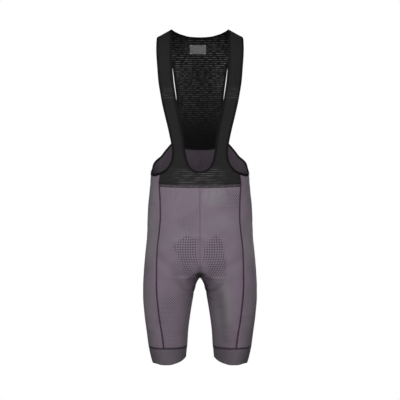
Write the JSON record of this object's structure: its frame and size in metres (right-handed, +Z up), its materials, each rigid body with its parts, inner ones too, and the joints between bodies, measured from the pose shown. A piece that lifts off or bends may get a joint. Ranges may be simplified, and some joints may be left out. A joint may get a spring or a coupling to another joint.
{
  "type": "cycling bib shorts",
  "caption": "Cycling bib shorts in worn form: plum-grey knit shorts with leg grippers and an inner seat pad, a charcoal stomach panel with shoulder straps, and a black mesh back.",
  "frame": {"origin": "midway between the crests of the two shoulder straps, where the wearer's shoulders carry them", "axes": "+Z up, -Y the front of the garment, +X the wearer's left side"},
  "size_m": [0.3304, 0.2288, 0.9646],
  "materials": {
    "charcoal_knit": "smooth matt compression knit, ribbed at the waist",
    "black_mesh": "matt open rib mesh",
    "plum_knit": "matt dimpled warp knit with a faint sheen",
    "gripper_band": "smooth matt elastic band",
    "band_grey": "matt flat seam tape",
    "edging": "matt black edging",
    "label": "bare woven label",
    "pad": "brushed foam pad"
  },
  "bodies": {
    "root": {"bib_front": "charcoal_knit", "upper_back": "black_mesh", "waist_band": "band_grey", "front_left": "plum_knit", "front_right": "plum_knit", "side_left": "plum_knit", "side_right": "plum_knit", "back_left": "plum_knit", "back_right": "plum_knit", "gripper_left": "gripper_band", "gripper_right": "gripper_band", "neck_binding": "edging", "armhole_binding_left": "edging", "armhole_binding_right": "edging", "neck_label": "label", "seat_pad": "pad"}
  },
  "joints": []
}
